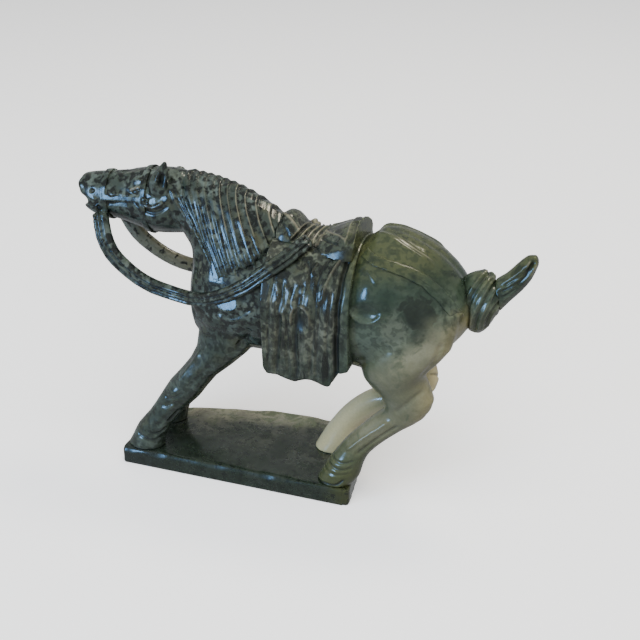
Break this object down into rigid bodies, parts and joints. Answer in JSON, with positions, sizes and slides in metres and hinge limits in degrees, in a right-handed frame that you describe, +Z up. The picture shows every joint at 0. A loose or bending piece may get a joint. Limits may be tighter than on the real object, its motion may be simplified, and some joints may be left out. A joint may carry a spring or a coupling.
{
  "type": "horse figurine",
  "caption": "Saddled horse carved in mottled green jade, legs braced apart on a thin stone slab, with open reins and a bound tail; a tabletop ornament.",
  "frame": {"origin": "centre of the slab's length on the horse's centre plane, at the underside of the slab", "axes": "+Z up; the horse looks along -X and its tail points along +X; its left side faces -Y"},
  "size_m": [0.1764, 0.0525, 0.1287],
  "materials": {
    "dark_jade": "polished",
    "mid_jade": "polished",
    "pale_jade": "polished",
    "slab_jade": "satin"
  },
  "bodies": {
    "root": {"base_slab": "slab_jade", "trunk": "mid_jade", "neck": "dark_jade", "head": "dark_jade", "left_ear": "dark_jade", "right_ear": "dark_jade", "bridle": "dark_jade", "mane": "dark_jade", "left_foreleg": "dark_jade", "right_foreleg": "dark_jade", "left_hind_leg": "pale_jade", "right_hind_leg": "pale_jade", "saddle_cloth": "dark_jade", "saddle": "dark_jade", "left_crupper": "mid_jade", "right_crupper": "mid_jade", "left_rein": "dark_jade", "right_rein": "dark_jade", "tail_knot": "mid_jade", "tail_plume": "dark_jade"}
  },
  "joints": []
}
